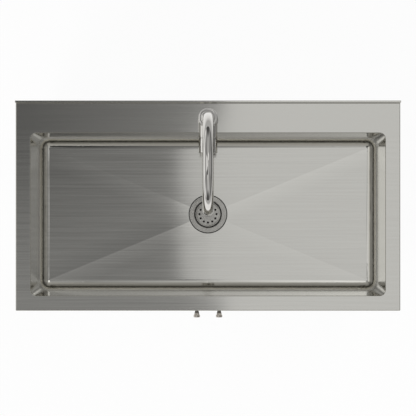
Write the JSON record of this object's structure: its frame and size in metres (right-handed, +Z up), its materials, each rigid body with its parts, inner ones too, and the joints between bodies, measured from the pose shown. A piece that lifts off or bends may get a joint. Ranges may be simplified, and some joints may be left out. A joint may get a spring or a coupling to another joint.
{
  "type": "laundry sink cabinet",
  "caption": "Laundry sink cabinet: brushed steel top with a rear upstand and one wide creased basin, gooseneck mixer tap, basket strainer with trap, and paired hinged doors with round knobs.",
  "frame": {"origin": "on the floor, under the middle of the outline that includes the door knobs", "axes": "+Z up, +Y to the wall behind, so the doors face -Y, and +X to the right of a person facing them"},
  "size_m": [1.1, 0.625, 1.2152],
  "materials": {
    "steel": "brushed stainless steel",
    "strainer_steel": "polished stainless steel",
    "chrome": "bright chrome plate",
    "nickel": "satin nickel",
    "white_paint": "white painted board",
    "white_board": "white faced board",
    "hardboard": "white faced hardboard",
    "pipe_plastic": "white waste pipe plastic",
    "rubber": "black rubber",
    "clear_rubber": "soft grey rubber",
    "fibre": "fibre washer",
    "brass": "plain brass",
    "cartridge": "moulded plastic",
    "aerator": "moulded plastic",
    "catch": "white plastic with magnets inside",
    "glide": "black nylon"
  },
  "bodies": {
    "cabinet": {"sink_deck": "steel", "sink_basin": "steel", "strainer_body": "strainer_steel", "strainer_gasket": "rubber", "friction_washer": "fibre", "strainer_locknut": "brass", "tailpiece": "pipe_plastic", "coupling_nut": "pipe_plastic", "trap_slip_nuts": "pipe_plastic", "trap_bend": "pipe_plastic", "trap_arm": "pipe_plastic", "tap_base_gasket": "rubber", "tap_base_ring": "chrome", "tap_body": "chrome", "mounting_shank": "brass", "mounting_washer": "rubber", "mounting_nut": "brass", "cartridge_housing": "cartridge", "cartridge_bonnet": "chrome", "left_side_panel": "white_board", "right_side_panel": "white_board", "plinth_sides": "white_board", "bottom_panel": "white_board", "back_panel": "hardboard", "rear_rails": "white_board", "toe_board": "white_board", "frame_stiles": "white_paint", "frame_rails": "white_paint", "floor_glides": "glide", "hinge_frame_leaves": "nickel", "hinge_pins": "nickel", "magnetic_catches": "catch"},
    "left_door": {"left_door_stiles": "white_paint", "left_door_rails": "white_paint", "left_door_panel": "white_paint", "left_door_bumpers": "clear_rubber", "left_hinge_leaves": "nickel", "left_strike_plate": "nickel", "left_knob": "nickel", "left_knob_screw": "nickel"},
    "right_door": {"right_door_stiles": "white_paint", "right_door_rails": "white_paint", "right_door_panel": "white_paint", "right_door_bumpers": "clear_rubber", "right_hinge_leaves": "nickel", "right_strike_plate": "nickel", "right_knob": "nickel", "right_knob_screw": "nickel"},
    "spout": {"spout": "chrome", "spout_seals": "rubber", "aerator_shell": "chrome", "aerator_insert": "aerator"},
    "mixer": {"cartridge_turret": "cartridge", "cartridge_pin": "nickel"},
    "handle": {"cartridge_lever": "brass", "handle_cap": "chrome", "lever_rod": "chrome"},
    "basket": {"basket_cup": "strainer_steel", "basket_post": "strainer_steel", "basket_stopper": "rubber"}
  },
  "joints": [
    {"name": "left_door_hinge", "type": "hinge", "parent": "cabinet", "child": "left_door", "pos_m": [-0.5292, -0.2678, 0.4845], "axis": [0, 0, -1], "range_deg": [0, 110]},
    {"name": "right_door_hinge", "type": "hinge", "parent": "cabinet", "child": "right_door", "pos_m": [0.5292, -0.2678, 0.4845], "axis": [0, 0, 1], "range_deg": [0, 110]},
    {"name": "spout_swivel", "type": "hinge", "parent": "cabinet", "child": "spout", "pos_m": [0, 0.2565, 1.058], "axis": [0, 0, 1], "range_deg": [-70, 70]},
    {"name": "handle_temperature", "type": "hinge", "parent": "cabinet", "child": "mixer", "pos_m": [0, 0.2165, 0.995], "axis": [0, -1, 0], "range_deg": [-45, 45]},
    {"name": "handle_flow", "type": "hinge", "parent": "mixer", "child": "handle", "pos_m": [0, 0.2165, 0.995], "axis": [1, 0, 0], "range_deg": [0, 22]},
    {"name": "basket_lift", "type": "slide", "parent": "cabinet", "child": "basket", "axis": [0, 0, 1], "range_m": [0, 0.3]}
  ]
}
